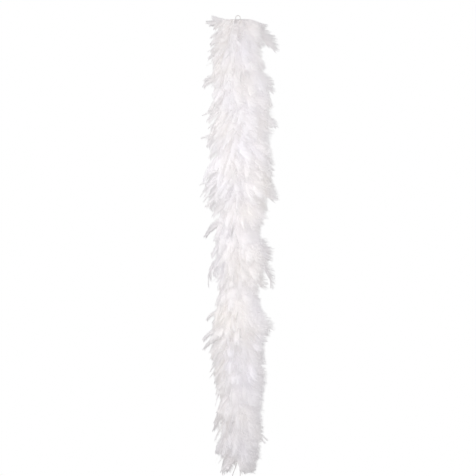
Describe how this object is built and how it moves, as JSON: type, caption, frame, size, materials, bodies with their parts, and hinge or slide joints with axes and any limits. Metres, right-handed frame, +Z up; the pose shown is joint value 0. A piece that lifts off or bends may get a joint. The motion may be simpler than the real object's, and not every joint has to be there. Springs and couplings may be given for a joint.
{
  "type": "feather boa",
  "caption": "Long white feather boa hanging by one end: whorls of soft drooping feathers bound to a bendable plied cord, with a hanging loop above and two loose tails below.",
  "frame": {"origin": "inside the crown of the hanging loop, where it rests on its peg", "axes": "+Z up along the hanging cord, +Y away from the viewer, +X to the viewer's right"},
  "size_m": [0.2959, 0.3027, 1.8558],
  "materials": {
    "feather": "matte",
    "cord": "matte",
    "thread": "satin"
  },
  "bodies": {
    "top_end": {"hanging_loop": "cord", "top_knot": "cord", "crown_tuft": "feather"},
    "neck": {"top_whipping": "thread"},
    "link_01": {"core_cord_01": "cord", "feather_tuft_01": "feather", "thread_binding_01": "thread"},
    "link_02": {"core_cord_02": "cord", "feather_tuft_02": "feather", "thread_binding_02": "thread"},
    "link_03": {"core_cord_03": "cord", "feather_tuft_03": "feather", "thread_binding_03": "thread"},
    "link_04": {"core_cord_04": "cord", "feather_tuft_04": "feather", "thread_binding_04": "thread"},
    "link_05": {"core_cord_05": "cord", "feather_tuft_05": "feather", "thread_binding_05": "thread"},
    "link_06": {"core_cord_06": "cord", "feather_tuft_06": "feather", "thread_binding_06": "thread"},
    "link_07": {"core_cord_07": "cord", "feather_tuft_07": "feather", "thread_binding_07": "thread"},
    "link_08": {"core_cord_08": "cord", "feather_tuft_08": "feather", "thread_binding_08": "thread"},
    "link_09": {"core_cord_09": "cord", "feather_tuft_09": "feather", "thread_binding_09": "thread"},
    "link_10": {"core_cord_10": "cord", "feather_tuft_10": "feather", "thread_binding_10": "thread"},
    "link_11": {"core_cord_11": "cord", "feather_tuft_11": "feather", "thread_binding_11": "thread"},
    "link_12": {"core_cord_12": "cord", "feather_tuft_12": "feather", "thread_binding_12": "thread"},
    "link_13": {"core_cord_13": "cord", "feather_tuft_13": "feather", "thread_binding_13": "thread"},
    "link_14": {"core_cord_14": "cord", "feather_tuft_14": "feather", "thread_binding_14": "thread"},
    "link_15": {"core_cord_15": "cord", "feather_tuft_15": "feather", "thread_binding_15": "thread"},
    "link_16": {"core_cord_16": "cord", "feather_tuft_16": "feather", "thread_binding_16": "thread"},
    "link_17": {"core_cord_17": "cord", "feather_tuft_17": "feather", "thread_binding_17": "thread", "bottom_knot": "cord"},
    "left_tail": {"tail_left": "cord"},
    "right_tail": {"tail_right": "cord"}
  },
  "joints": [
    {"name": "twist", "type": "hinge", "parent": "top_end", "child": "neck", "pos_m": [0, 0, -0.0383], "axis": [0, 0, 1], "range_deg": [-180, 180]},
    {"name": "bend_01", "type": "hinge", "parent": "neck", "child": "link_01", "pos_m": [0, 0, -0.0493], "axis": [1, 0, 0], "range_deg": [-30, 30]},
    {"name": "bend_02", "type": "hinge", "parent": "link_01", "child": "link_02", "pos_m": [0, 0, -0.1493], "axis": [0, 1, 0], "range_deg": [-30, 30]},
    {"name": "bend_03", "type": "hinge", "parent": "link_02", "child": "link_03", "pos_m": [0, 0, -0.2493], "axis": [1, 0, 0], "range_deg": [-30, 30]},
    {"name": "bend_04", "type": "hinge", "parent": "link_03", "child": "link_04", "pos_m": [0, 0, -0.3493], "axis": [0, 1, 0], "range_deg": [-30, 30]},
    {"name": "bend_05", "type": "hinge", "parent": "link_04", "child": "link_05", "pos_m": [0, 0, -0.4493], "axis": [-1, 0, 0], "range_deg": [-30, 30]},
    {"name": "bend_06", "type": "hinge", "parent": "link_05", "child": "link_06", "pos_m": [0, 0, -0.5493], "axis": [0, -1, 0], "range_deg": [-30, 30]},
    {"name": "bend_07", "type": "hinge", "parent": "link_06", "child": "link_07", "pos_m": [0, 0, -0.6493], "axis": [-1, 0, 0], "range_deg": [-30, 30]},
    {"name": "bend_08", "type": "hinge", "parent": "link_07", "child": "link_08", "pos_m": [0, 0, -0.7493], "axis": [0, -1, 0], "range_deg": [-30, 30]},
    {"name": "bend_09", "type": "hinge", "parent": "link_08", "child": "link_09", "pos_m": [0, 0, -0.8493], "axis": [1, 0, 0], "range_deg": [-30, 30]},
    {"name": "bend_10", "type": "hinge", "parent": "link_09", "child": "link_10", "pos_m": [0, 0, -0.9493], "axis": [0, 1, 0], "range_deg": [-30, 30]},
    {"name": "bend_11", "type": "hinge", "parent": "link_10", "child": "link_11", "pos_m": [0, 0, -1.0493], "axis": [1, 0, 0], "range_deg": [-30, 30]},
    {"name": "bend_12", "type": "hinge", "parent": "link_11", "child": "link_12", "pos_m": [0, 0, -1.1493], "axis": [0, 1, 0], "range_deg": [-30, 30]},
    {"name": "bend_13", "type": "hinge", "parent": "link_12", "child": "link_13", "pos_m": [0, 0, -1.2493], "axis": [-1, 0, 0], "range_deg": [-30, 30]},
    {"name": "bend_14", "type": "hinge", "parent": "link_13", "child": "link_14", "pos_m": [0, 0, -1.3493], "axis": [0, -1, 0], "range_deg": [-30, 30]},
    {"name": "bend_15", "type": "hinge", "parent": "link_14", "child": "link_15", "pos_m": [0, 0, -1.4493], "axis": [-1, 0, 0], "range_deg": [-30, 30]},
    {"name": "bend_16", "type": "hinge", "parent": "link_15", "child": "link_16", "pos_m": [0, 0, -1.5493], "axis": [0, -1, 0], "range_deg": [-30, 30]},
    {"name": "bend_17", "type": "hinge", "parent": "link_16", "child": "link_17", "pos_m": [0, 0, -1.6493], "axis": [1, 0, 0], "range_deg": [-30, 30]},
    {"name": "left_tail_swing", "type": "hinge", "parent": "link_17", "child": "left_tail", "pos_m": [-0.0039, 0, -1.7666], "axis": [1, 0, 0], "range_deg": [-45, 45]},
    {"name": "right_tail_swing", "type": "hinge", "parent": "link_17", "child": "right_tail", "pos_m": [0.0039, 0, -1.7666], "axis": [1, 0, 0], "range_deg": [-45, 45]}
  ]
}
